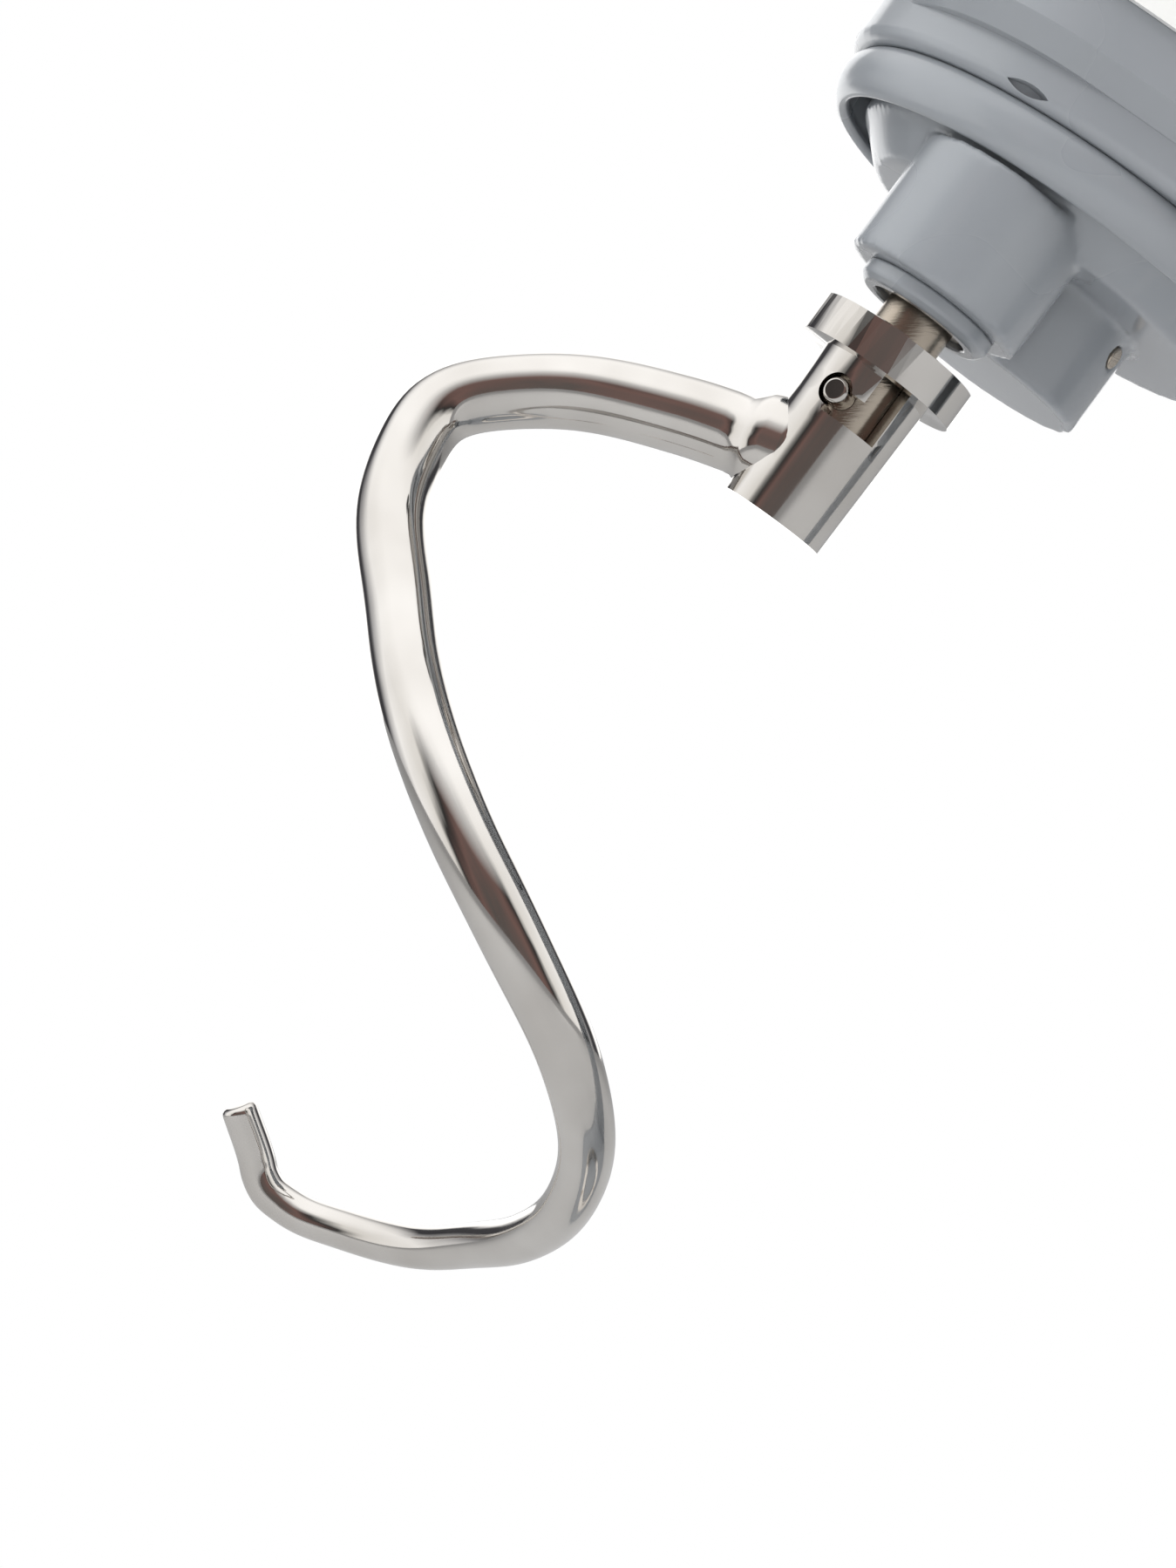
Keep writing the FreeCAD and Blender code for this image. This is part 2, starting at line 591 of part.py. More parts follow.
# ---------------------------------------------------------------- attachment barrel
def make_barrel():
    front = "-armLength - barrelReach"
    barrel = rod("barrelRadius", "barrelReach - barrelRear", (front, "0", "hubHeight"), along_x)
    flange = block("5", "16", "6", (front, "-8", "hubHeight + barrelRadius - 3"))
    tools = [
        rod("barrelBore", "16", (f"{front} - 1", "0", "hubHeight"), along_x),
        rod("centreShaft + runningGap", "60", (front, "0", "hubHeight"), along_x),
        rod("knobStem + runningGap", "barrelRadius",
            (f"{front} + 8", "-barrelRadius - 1", "hubHeight"), along_y),
        rod("capPinRadius + runningGap", "30",
            (f"{front} + 2.2", "-15", "hubHeight + barrelRadius + 0.6"), along_y),
        block("12", "8.8", "9", (f"{front} - 2", "-4.4", "hubHeight + barrelRadius - 3.2")),
    ]
    keep(less(joined([barrel, flange]), tools), "attachment_barrel", head_frame)
    cap = rod("barrelRadius - 1", "capThick",
              (f"{front} - capThick - seatGap", "0", "hubHeight"), along_x)
    tongue = block("capThick", "8", "6",
                   (f"{front} - capThick - seatGap", "-4", "hubHeight + barrelRadius - 4"))
    knuckle = rod("capPinRadius + 1.2", "8",
                  (f"{front} + 2.2", "-4", "hubHeight + barrelRadius + 0.6"), along_y)
    bridge = block("capThick + 2.4", "8", "2.2",
                   (f"{front} - capThick - seatGap", "-4", "hubHeight + barrelRadius + 0.4"))
    hole = rod("capPinRadius + runningGap", "12",
               (f"{front} + 2.2", "-6", "hubHeight + barrelRadius + 0.6"), along_y)
    keep(less(joined([cap, tongue, knuckle, bridge]), [hole]), "barrel_cap", head_frame)
    turned("barrel_cap_pin", [("0", "0"), ("capPinRadius", "0"), ("capPinRadius", "15.6"),
                              ("0", "15.6")],
           head_frame, (f"{front} + 2.2", "-7.8", "hubHeight + barrelRadius + 0.6"), along_y)
    turned("barrel_knob",
           [("0", "0"), ("knobStem", "0"), ("knobStem", "10"), ("knobRadius - 2", "10.6"),
            ("knobRadius", "13"), ("knobRadius", "20"), ("knobRadius - 1.5", "22"),
            ("0", "22.6")],
           head_frame, (f"{front} + 8", "-barrelBore - 0.5", "hubHeight"),
           Rotation(Vector(1, 0, 0), 90))


# ---------------------------------------------------------------- controls
def make_controls():
    face = "headHalf - 0.9"
    plate = block("leverTravel + 19.4", "2.4", "2 * plateHalf",
                  ("leverX - 9.7", face, "leverHeight - plateHalf"))
    slot = block("leverTravel + 6", "6", "4", ("leverX - 3", f"{face} - 2", "leverHeight - 2"))
    keep(less(plate, [slot]), "speed_plate", head_frame)
    turned("speed_lever",
           [("0", "0"), ("1.5", "0"), ("1.5", "12"), ("4", "12.4"), ("leverKnob", "15"),
            ("leverKnob", "21"), ("leverKnob - 1.5", "23"), ("0", "23.6")],
           head_frame, ("leverX", "headHalf - 9.9", "leverHeight"), along_y)
    shaft = rod("lockShaft", "14", ("lockX", "-headHalf - 4", "lockHeight"), along_y)
    arm = block("lockArm", "4", "7", ("lockX - 3.5", "-headHalf - 4.4", "lockHeight - 3.5"))
    grip = rod("5", "6", ("lockX + lockArm - 6", "-headHalf - 8", "lockHeight"), along_y)
    keep(joined([shaft, arm, grip]), "lock_lever", head_frame)
    for number, side in enumerate((-1, 1), start=1):
        turn = Rotation(Vector(1, 0, 0), -90 * side)
        turned(f"brush_cap_{number}",
               [("0", "0"), ("bearingRadius - 1.5", "0"), ("bearingRadius - 1.5", "7"),
                ("bearingRadius - 0.3", "7"), ("bearingRadius - 0.3", "9.5"),
                ("bearingRadius - 1.5", "10.5"), ("0", "10.5")],
               head_frame, ("rearBracket - 16", f"{side} * (headHalf - 11)", "motorHeight"), turn)


# ---------------------------------------------------------------- motor and gear train
def bracket(label, x, holes, low, high):
    """A bearing bracket across the head, cut to the inside of the upper casting."""
    plate = Part.makeBox(size("bracketThick"), 200, high - low, Vector(size(x), -100, low))
    keep(less(solid(within_cavity(plate), f"{label}Blank"), holes), label, head_frame)


def make_motor():
    middle = "motorHeight"
    bracket("front_bracket", "frontBracket",
            [rod("motorShaft + runningGap", "bracketThick + 2", ("frontBracket - 1", "0", middle),
                 along_x)], 38, 100)
    bracket("rear_bracket", "rearBracket",
            [rod("motorShaft + runningGap", "bracketThick + 2", ("rearBracket - 1", "0", middle),
                 along_x),
             block("bracketThick + 2", "20", "8",
                   ("rearBracket - 1", "headHalf - 11", "leverHeight - 4"))],
            size("seam + 0.5"), 106)
    ears = Part.makeBox(size("statorRear - statorFront") - 20, 200, 14,
                        Vector(size("statorFront") + 10, -100, size("motorHeight") - 7))
    lugs = solid(within_cavity(ears), "StatorEars")
    ring = rod("statorRadius", "statorRear - statorFront", ("statorFront", "0", middle), along_x)
    bore = rod("rotorRadius + airGap", "statorRear - statorFront + 2",
               ("statorFront - 1", "0", middle), along_x)
    keep(less(joined([ring, lugs]), [bore]), "motor_stator", head_frame)
    start = "frontBracket - 4"
    turned("motor_rotor",
           [("0", "0"), ("motorShaft", "0"),
            ("motorShaft", "statorFront - frontBracket + 6"),
            ("rotorRadius - 6", "statorFront - frontBracket + 6"),
            ("rotorRadius - 6", "statorFront - frontBracket + 10"),
            ("rotorRadius", "statorFront - frontBracket + 10"),
            ("rotorRadius", "statorRear - frontBracket - 2"),
            ("rotorRadius - 6", "statorRear - frontBracket - 2"),
            ("rotorRadius - 6", "statorRear - frontBracket + 6"),
            ("commutatorRadius", "statorRear - frontBracket + 8"),
            ("commutatorRadius", "rearBracket - frontBracket - 6"),
            ("motorShaft", "rearBracket - frontBracket - 6"),
            ("motorShaft", "rearBracket - frontBracket + 32"),
            ("0", "rearBracket - frontBracket + 32")],
           head_frame, (start, "0", middle), along_x)
    turned("worm",
           [("motorShaft + runningGap", "0"), ("wormRadius - 2", "0"), ("wormRadius", "3"),
            ("wormRadius", "5"), ("wormRadius - 2", "7"), ("wormRadius", "9"),
            ("wormRadius", "11"), ("wormRadius - 2", "13"), ("wormRadius", "15"),
            ("wormRadius", "17"), ("wormRadius - 2", "19"), ("wormRadius", "21"),
            ("wormRadius", "23"), ("wormRadius - 2", "26"), ("motorShaft + runningGap", "26")],
           head_frame, ("wormShaftX - 13", "0", middle), along_x)
    fan = [rod("10", "12", ("rearBracket + bracketThick + 8", "0", middle), along_x),
           rod("fanRadius", "2", ("rearBracket + bracketThick + 8", "0", middle), along_x)]
    for number in range(9):
        blade = Part.makeBox(12, 2, size("fanRadius") - 10,
                             Vector(size("rearBracket + bracketThick + 8"), -1, 9))
        blade.rotate(Vector(0, 0, 0), Vector(1, 0, 0), 40 * number)
        blade.translate(Vector(0, 0, size("motorHeight")))
        fan.append(solid(blade, "Blade"))
    keep(less(joined(fan), [rod("motorShaft + runningGap", "40",
                                ("rearBracket + bracketThick", "0", middle), along_x)]),
         "motor_fan", head_frame)
    for number, side in enumerate((-1, 1), start=1):
        low = "commutatorRadius - 3" if side > 0 else "11.3 - headHalf"
        holder = block("12", "headHalf - 8.3 - commutatorRadius", "10",
                       ("rearBracket - 22", low, f"{middle} - 5"))
        room = rod("commutatorRadius + 0.3", "20", ("rearBracket - 26", "0", middle), along_x)
        keep(less(holder, [room]), f"brush_holder_{number}", head_frame)


def gear_wire(teeth, tip, root, level, share):
    """A gear's outline: straight-sided teeth, each a share of the pitch wide at its tip."""
    points = []
    for number in range(int(teeth)):
        for offset, radius in ((-0.62, root), (-0.5 * share * 1.5, tip),
                               (0.5 * share * 1.5, tip), (0.62, root)):
            way = 2 * math.pi * (number + offset * 0.55) / teeth
            points.append(Vector(radius * math.cos(way), radius * math.sin(way), level))
    points.append(points[0])
    return Part.makePolygon(points)


def make_gears():
    module = size("gearModule")
    ring_pitch = size("gearModule * ringTeeth / 2")
    pinion_pitch = size("gearModule * pinionTeeth / 2")
    share = size("toothShare")
    face = size("gearHeight")
    # internal ring gear, fixed in the lower casting; its teeth point inward
    level = size("webBottom") - 0.3 - face
    body = Part.makeCylinder(size("seatBore - runningGap"), face, Vector(0, 0, level))
    inside = prism(gear_wire(size("ringTeeth"), ring_pitch + module * 1.15,
                             ring_pitch - module * 0.8, level, 1 - share), face)
    ring = body.cut(inside)
    seat = Placement(Vector(-size("armLength"), 0, 0), Rotation())
    keep(solid(ring, "Ring"), "ring_gear", head_frame * seat)
    # agitator pinion, in the planetary's frame; a tooth of it stands in a space of the ring gear
    level = level + size("collarDrop")
    pinion = prism(gear_wire(size("pinionTeeth"), pinion_pitch + module * 0.8,
                             pinion_pitch - module * 1.15, level, share), face)
    pinion = pinion.cut(Part.makeCylinder(size("shaftRadius + runningGap"), 60,
                                          Vector(0, 0, level - 10)))
    mesh_turn = size("orbitTurn * (1 - ringTeeth / pinionTeeth)")
    meshing = Placement(Vector(0, 0, 0), Rotation(Vector(0, 0, 1), mesh_turn))
    keep(solid(pinion, "Pinion"), "agitator_pinion", agitator_frame * meshing)
    # centre gear with the bevel that drives the attachment shaft
    gear_z = "gearLevel + collarDrop"
    turned("centre_gear",
           [("centreShaft + runningGap", gear_z), ("centreGear", gear_z),
            ("centreGear", f"{gear_z} + gearFace"), ("bevelOuter", f"{gear_z} + gearFace"),
            ("bevelInner", f"{gear_z} + gearFace + bevelRise"),
            ("centreShaft + runningGap", f"{gear_z} + gearFace + bevelRise")],
           planet_frame)
    turned("centre_shaft",
           [("0", "hubBottom + 3"), ("centreShaft", "hubBottom + 3"),
            ("centreShaft", f"{gear_z} + gearFace + bevelRise"),
            ("0", f"{gear_z} + gearFace + bevelRise")],
           planet_frame)
    turned("centre_bearing",
           [("centreShaft + runningGap", "webBottom"),
            ("bearingRadius + 4 - runningGap", "webBottom"),
            ("bearingRadius + 4 - runningGap", "webBottom + webThick"),
            ("centreShaft + runningGap", "webBottom + webThick")],
           head_frame, ("-armLength", "0", "0"))
    reach = math.hypot(size("armLength + wormShaftX"), size("wormRadius + wormGear + driveGap"))
    pinion_radius = reach - size("centreGear + driveGap")
    turned("worm_gear",
           [("0", "caseBottom + 4"), ("wormShaftRadius", "caseBottom + 4"),
            ("wormShaftRadius", "gearLevel"), (f"{pinion_radius:.3f}", "gearLevel"),
            (f"{pinion_radius:.3f}", "gearLevel + gearFace"),
            ("wormShaftRadius", "gearLevel + gearFace"),
            ("wormShaftRadius", "motorHeight - 5"), ("wormGear", "motorHeight - 5"),
            ("wormGear", "motorHeight + 5"), ("wormShaftRadius", "motorHeight + 5"),
            ("wormShaftRadius", "motorHeight + 9"), ("0", "motorHeight + 9")],
           head_frame, ("wormShaftX", "wormRadius + wormGear + driveGap", "0"))
    far_radius = "hubHeight - gearLevel - gearFace - driveGap"
    near_radius = "hubHeight - gearLevel - gearFace - bevelRise - driveGap"
    turned("attachment_drive",
           [("0", "bevelInner"), (near_radius, "bevelInner"), (far_radius, "bevelOuter"),
            ("centreShaft", "bevelOuter"), ("centreShaft", "barrelReach - 16.5"),
            ("0", "barrelReach - 16.5")],
           head_frame, ("-armLength", "0", "hubHeight"), Rotation(Vector(0, 1, 0), -90))


# ---------------------------------------------------------------- planetary
def make_planetary():
    low, disc = "hubBottom", "discBottom"
    pieces = [
        rod("discRadius", "discTop - discBottom", ("0", "0", disc)),
        cone("domeRadius", "discRadius - 1", "domeDrop", ("0", "0", "discBottom - domeDrop")),
        rod("centreLobe", "discBottom - hubBottom", ("0", "0", low)),
        rod("agitatorLobe", "discBottom - hubBottom - 1.9", ("orbit", "0", low)),
        block("orbit", "2 * webHalf", "discBottom - hubBottom", ("0", "-webHalf", low)),
    ]
    tools = [
        rod("centreShaft + runningGap", "60", ("0", "0", "hubBottom + 3")),
        rod("shaftRadius + runningGap", "60", ("orbit", "0", "0")),
        rod("hubPin + runningGap", "2 * centreLobe + 2",
            ("0", "-centreLobe - 1", "hubBottom + 14"), along_y),
    ]
    keep(less(joined(pieces), tools), "planetary_hub", planet_frame)
    turned("hub_pin", [("0", "0"), ("hubPin", "0"), ("hubPin", "centreLobe - centreShaft - 0.3"),
                       ("0", "centreLobe - centreShaft - 0.3")],
           planet_frame, ("0", "centreShaft + 0.3", "hubBottom + 14"), along_y)
    turned("boss_ring",
           [("bossBore", "0"), ("bossRadius - 1.2", "0"), ("bossRadius", "1.2"),
            ("bossRadius", "bossHeight"), ("shaftRadius + runningGap", "bossHeight"),
            ("shaftRadius + runningGap", "bossHeight - 0.8"), ("bossBore", "bossHeight - 0.8")],
           planet_frame, ("orbit", "0", "hubBottom - bossHeight"))


def make_agitator():
    shaft = joined([
        cone("shaftRadius - 0.8", "shaftRadius", "0.8", ("0", "0", "-shaftTail")),
        rod("shaftRadius", "collarDrop + webBottom - 1.3 + shaftTail",
            ("0", "0", "0.8 - shaftTail"))])
    cross_hole = solid(Part.makeCylinder(size("crossPin + runningGap"), size("4 * shaftRadius"),
                                         Vector(-size("2 * shaftRadius"), 0, 0),
                                         Vector(1, 0, 0)), "CrossHole")
    cross_hole.Placement = Placement(Vector(0, 0, -size("pinDrop")),
                                     Rotation(Vector(0, 0, 1), size("pinTurn")))
    keep(less(shaft, [cross_hole]), "agitator_shaft", agitator_frame)
    turned("shaft_clip",
           [("shaftRadius + runningGap", "hubBottom - bossHeight + 1.1"),
            ("bossBore - 0.6", "hubBottom - bossHeight + 1.1"),
            ("bossBore - 0.6", "hubBottom - bossHeight + 2.1"),
            ("shaftRadius + runningGap", "hubBottom - bossHeight + 2.1")],
           agitator_frame)
    turned("cross_pin",
           [("0", "-crossHalf"), ("crossPin - 0.5", "-crossHalf"), ("crossPin", "0.5 - crossHalf"),
            ("crossPin", "crossHalf - 0.5"), ("crossPin - 0.5", "crossHalf"), ("0", "crossHalf")],
           agitator_frame, ("0", "0", "-pinDrop"), pin_axis())


def pin_axis():
    """The cross pin lies across the shaft, turned to its place in the bayonet."""
    return Rotation(Vector(0, 0, 1), size("pinTurn")) * along_x


# The rod of the dough hook: (turn from the rear towards -Y, reach, drop, diameter). The last
# stations bend it sharply into a short straight tip with a rounded end.
hook_stations = [
    (190, 3, 24.5, 13.8), (191, 24, 30, 13.6), (190, 45, 39.5, 13.1), (184, 57, 53, 12.6),
    (176, 54, 68, 12.3), (156, 43.5, 82.5, 11.9), (128, 40, 94, 11.5), (101, 41.5, 103.5, 11.0),
    (78, 46, 112, 10.6), (58, 49.5, 121.5, 9.8), (40, 48.5, 133, 9.0), (23, 44, 145.5, 8.5),
    (3, 38, 157, 8.2), (-21, 34, 166.5, 7.9), (-46, 33, 176, 7.6), (-71, 33, 183, 7.3),
    (-91, 34.5, 186.8, 7.1), (-98, 35, 186.6, 7.0), (-102.5, 35.5, 185.2, 6.9),
    (-106, 35.8, 183.3, 6.8), (-118, 36.9, 177.6, 6.6), (-119.5, 37, 176.9, 5.6),
]


def hook_place(station):
    way = math.radians(station[0])
    return Vector(station[1] * math.cos(way), -station[1] * math.sin(way), -station[2])


def ring_at(place, along, across, radius):
    """A circle of the rod, square to its course, with its seam kept from twisting."""
    circle = Part.Wire([Part.Circle(Vector(0, 0, 0), Vector(0, 0, 1), radius).toShape()])
    circle.Placement = Placement(place, Rotation(across, along.cross(across), along, "ZXY"))
    return circle


def make_hook_rod():
    """A tapering round rod through the stations."""
    places = [hook_place(station) for station in hook_stations]
    course = Part.BSplineCurve()
    course.interpolate(places)
    rings = []
    across = Vector(0, 0, 1)
    for place, station in zip(places, hook_stations):
        along = Vector(course.tangent(course.parameter(place))[0]).normalize()
        across = (across - along * across.dot(along)).normalize()
        rings.append(ring_at(place, along, across, station[3] / 2))
    return Part.makeLoft(rings, True)


def slot_tools(half_turn):
    """One side's bayonet slot: a seat round the pin, a level leg and a leg up to the rim."""
    drop, pin = size("pinDrop"), size("crossPin + slotSlack")
    start = size("pinTurn") + half_turn
    outer = size("socketTop") + 0.4
    seat = Part.makeCylinder(pin, outer + 4, Vector(0, 0, -drop), Vector(1, 0, 0))
    seat.rotate(Vector(0, 0, 0), Vector(0, 0, 1), start)
    low = -drop - 4
    tall = size("slotHeight") - 1.1
    profile = Part.makePolygon([Vector(4, 0, low), Vector(outer + 4, 0, low),
                                Vector(outer + 4, 0, low + tall), Vector(4, 0, low + tall),
                                Vector(4, 0, low)])
    level_leg = Part.Face(profile).revolve(Vector(0, 0, 0), Vector(0, 0, 1), size("slotTravel"))
    level_leg.rotate(Vector(0, 0, 0), Vector(0, 0, 1), start)
    end = start + size("slotTravel")
    width = 2 * pin
    leg_below = Part.makeBox(outer + 4, width, 10 + low * -1 - size("collarThick"),
                             Vector(0, -width / 2, low))
    leg_below = leg_below.common(Part.makeBox(40, 40, -low - size("collarThick"),
                                              Vector(0, -20, low)))
    leg_above = Part.makeBox(outer, width, 20 - low, Vector(0, -width / 2, low))
    for leg in (leg_below, leg_above):
        leg.rotate(Vector(0, 0, 0), Vector(0, 0, 1), end)
    return [solid(seat, "Seat"), solid(level_leg, "LevelLeg"), solid(leg_below, "RisingLeg"),
            solid(leg_above, "InnerLeg")]


def make_hook():
    socket = cone("socketFoot", "socketTop", "socketLength", ("0", "0", "-socketLength"))
    collar = rod("collarRadius", "collarThick", ("0", "0", "-collarThick"))
    rim = rod("lipDiameter / 2", "collarLip", ("0", "0", "0"))
    hook = joined([socket, collar, rim, solid(make_hook_rod(), "HookRod")])
    bore = rod("shaftRadius + 0.1", "socketBore + collarLip + 1", ("0", "0", "-socketBore"))
    keep(less(hook, [bore] + slot_tools(0) + slot_tools(180)), "dough_hook", agitator_frame)


make_base_casting()
make_bowl_plate()
make_base_fittings()
make_upper_casting()
make_lower_casting()
make_trim()
make_barrel()
make_controls()
make_motor()
make_gears()
make_planetary()
make_agitator()
make_hook()
doc.recompute()
for thing in doc.Objects:
    if "Invalid" in thing.State or "Error" in thing.State:
        raise RuntimeError(f"{thing.Name} did not build: {thing.State}")
os.makedirs("parts", exist_ok=True)
for thing in parts:
    shape = thing.Shape
    if shape.isNull() or not shape.isValid():
        raise RuntimeError(f"{thing.Label} has no valid shape")
    shape.exportStep(f"parts/{thing.Label}.step")
    print(thing.Label, len(shape.Solids), round(shape.Volume))
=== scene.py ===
import json
import math

import bmesh
import bpy
from mathutils import Matrix, Vector


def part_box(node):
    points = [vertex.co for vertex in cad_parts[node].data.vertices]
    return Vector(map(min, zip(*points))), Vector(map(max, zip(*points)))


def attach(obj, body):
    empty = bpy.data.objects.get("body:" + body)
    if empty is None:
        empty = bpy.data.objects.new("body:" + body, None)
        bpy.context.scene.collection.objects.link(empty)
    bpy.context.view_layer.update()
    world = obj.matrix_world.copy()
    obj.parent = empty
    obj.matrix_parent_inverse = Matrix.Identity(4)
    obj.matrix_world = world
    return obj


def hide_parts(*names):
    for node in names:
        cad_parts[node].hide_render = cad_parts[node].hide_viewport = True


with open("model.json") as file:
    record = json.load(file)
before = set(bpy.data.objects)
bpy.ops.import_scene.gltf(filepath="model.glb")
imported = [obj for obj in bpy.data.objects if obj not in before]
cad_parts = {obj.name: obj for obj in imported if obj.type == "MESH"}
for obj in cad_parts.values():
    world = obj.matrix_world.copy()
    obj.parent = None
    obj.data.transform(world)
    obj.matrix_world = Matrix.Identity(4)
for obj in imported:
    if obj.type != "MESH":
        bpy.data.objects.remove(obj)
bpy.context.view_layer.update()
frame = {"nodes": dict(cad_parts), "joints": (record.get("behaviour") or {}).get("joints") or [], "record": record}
nodes = frame["nodes"]
joints = {joint["name"]: joint for joint in frame["joints"]}
bodyOf = {node: body for body, members in frame["record"]["behaviour"]["bodies"].items() for node in members}
mm = 0.001

# The frame of the hook: its origin is in the middle of the top of its collar
tilt = math.radians(joints["head_tilt"]["range_deg"][1])
hookTop = Vector(joints["agitator_spin"]["pos_m"])
hookFrame = Matrix.Translation(hookTop) @ Matrix.Rotation(tilt, 4, "Y")



def startGroup(name, inputs, outputs):
    tree = bpy.data.node_groups.new(name, "ShaderNodeTree")
    for label, kind, value in inputs:
        socket = tree.interface.new_socket(label, in_out="INPUT", socket_type=kind)
        if value is not None:
            socket.default_value = value
    for label, kind in outputs:
        tree.interface.new_socket(label, in_out="OUTPUT", socket_type=kind)
    return tree, tree.nodes.new("NodeGroupInput"), tree.nodes.new("NodeGroupOutput")


def addNode(tree, kind, links=None, **settings):
    node = tree.nodes.new(kind)
    for key, value in settings.items():
        if key.startswith("in_"):
            label = key[3:].replace("_", " ")
            node.inputs[int(label) if label.isdigit() else label].default_value = value
        else:
            setattr(node, key, value)
    for label, source in (links or {}).items():
        tree.links.new(source, node.inputs[label])
    return node


def buildPatchGroup():  # soft patches that lift and lower a value, such as handling marks
    tree, given, out = startGroup("surfacePatches", [
        ("Scale", "NodeSocketFloat", 30.0), ("Low", "NodeSocketFloat", 0.2),
        ("High", "NodeSocketFloat", 0.4)], [("Value", "NodeSocketFloat")])
    place = addNode(tree, "ShaderNodeTexCoord")
    blotch = addNode(tree, "ShaderNodeTexNoise", {"Vector": place.outputs["Object"], "Scale": given.outputs["Scale"]},
                     in_Detail=2.0, in_Roughness=0.5)
    spread = addNode(tree, "ShaderNodeMapRange", {"Value": blotch.outputs["Fac"], "To Min": given.outputs["Low"],
                                                  "To Max": given.outputs["High"]},
                     in_From_Min=0.2, in_From_Max=0.8)
    tree.links.new(spread.outputs["Result"], out.inputs["Value"])
    return tree


def buildSkinGroup():  # the faint waviness of sprayed or moulded surfaces
    tree, given, out = startGroup("wavySkin", [
        ("Scale", "NodeSocketFloat", 400.0), ("Strength", "NodeSocketFloat", 0.05),
        ("Distance", "NodeSocketFloat", 0.0004)], [("Normal", "NodeSocketVector")])
    place = addNode(tree, "ShaderNodeTexCoord")
    wave = addNode(tree, "ShaderNodeTexNoise", {"Vector": place.outputs["Object"], "Scale": given.outputs["Scale"]},
                   in_Detail=3.0, in_Roughness=0.5)
    bump = addNode(tree, "ShaderNodeBump", {"Height": wave.outputs["Fac"], "Strength": given.outputs["Strength"],
                                            "Distance": given.outputs["Distance"]})
    tree.links.new(bump.outputs["Normal"], out.inputs["Normal"])
    return tree


def buildScratchGroup():  # fine polishing lines, drawn out along one direction
    tree, given, out = startGroup("polishLines", [
        ("Stretch", "NodeSocketVector", (40.0, 40.0, 900.0)), ("Strength", "NodeSocketFloat", 0.05),
        ("Distance", "NodeSocketFloat", 0.0002)],
        [("Normal", "NodeSocketVector"), ("Mask", "NodeSocketFloat")])
    place = addNode(tree, "ShaderNodeTexCoord")
    drawn = addNode(tree, "ShaderNodeVectorMath", {0: place.outputs["Object"], 1: given.outputs["Stretch"]},
                    operation="MULTIPLY")
    lines = addNode(tree, "ShaderNodeTexNoise", {"Vector": drawn.outputs["Vector"]},
                    in_Scale=1.0, in_Detail=4.0)
    bump = addNode(tree, "ShaderNodeBump", {"Height": lines.outputs["Fac"], "Strength": given.outputs["Strength"],
                                            "Distance": given.outputs["Distance"]})
    tree.links.new(bump.outputs["Normal"], out.inputs["Normal"])
    tree.links.new(lines.outputs["Fac"], out.inputs["Mask"])
    return tree


patchGroup = buildPatchGroup()
skinGroup = buildSkinGroup()
scratchGroup = buildScratchGroup()



def linear(red, green, blue):  # a display colour, 0 to 255, as the shader wants it
    values = []
    for channel in (red, green, blue):
        share = channel / 255
        values.append(share / 12.92 if share <= 0.04045 else ((share + 0.055) / 1.055) ** 2.4)
    return (*values, 1.0)


def startMaterial(name):
    material = bpy.data.materials.new(name)
    material.use_nodes = True
    tree = material.node_tree
    return material, tree, tree.nodes["Principled BSDF"]


def useGroup(tree, group, **values):
    node = tree.nodes.new("ShaderNodeGroup")
    node.node_tree = group
    for label, value in values.items():
        node.inputs[label].default_value = value
    return node


def tintedBase(tree, shader, dark, light, scale):
    # the colour drifts a little between two shades
    patches = useGroup(tree, patchGroup, Scale=scale, Low=0.0, High=1.0)
    mix = addNode(tree, "ShaderNodeMix", {"Factor": patches.outputs["Value"]}, data_type="RGBA")
    mix.inputs["A"].default_value = dark
    mix.inputs["B"].default_value = light
    tree.links.new(mix.outputs["Result"], shader.inputs["Base Color"])
    return mix


def patchyRoughness(tree, shader, scale, low, high):
    patches = useGroup(tree, patchGroup, Scale=scale, Low=low, High=high)
    tree.links.new(patches.outputs["Value"], shader.inputs["Roughness"])


def makeEnamel():
    finish = {"dark": linear(137, 142, 147), "light": linear(146, 150, 155), "roughLow": 0.22, "roughHigh": 0.3}
    material, tree, shader = startMaterial("greyEnamel")
    tintedBase(tree, shader, finish["dark"], finish["light"], 12.0)
    patchyRoughness(tree, shader, 14.0, finish["roughLow"], finish["roughHigh"])
    skin = useGroup(tree, skinGroup, Scale=160.0, Strength=0.06, Distance=0.0004)
    tree.links.new(skin.outputs["Normal"], shader.inputs["Normal"])
    shader.inputs["Coat Weight"].default_value = 0.5
    shader.inputs["Coat Roughness"].default_value = 0.06
    return material


def makePolished():
    material, tree, shader = startMaterial("polishedSteel")
    shader.inputs["Metallic"].default_value = 1.0
    tintedBase(tree, shader, linear(196, 192, 187), linear(216, 213, 209), 60.0)
    patchyRoughness(tree, shader, 140.0, 0.04, 0.13)
    lines = useGroup(tree, scratchGroup, Stretch=(160.0, 160.0, 40.0), Strength=0.05, Distance=0.0003)
    tree.links.new(lines.outputs["Normal"], shader.inputs["Normal"])
    return material


def makeNickel():
    material, tree, shader = startMaterial("satinNickel")
    shader.inputs["Metallic"].default_value = 1.0
    tintedBase(tree, shader, linear(166, 155, 141), linear(196, 186, 172), 90.0)
    patchyRoughness(tree, shader, 200.0, 0.18, 0.3)
    lines = useGroup(tree, scratchGroup, Stretch=(300.0, 300.0, 3000.0), Strength=0.15, Distance=0.0003)
    tree.links.new(lines.outputs["Normal"], shader.inputs["Normal"])
    return material


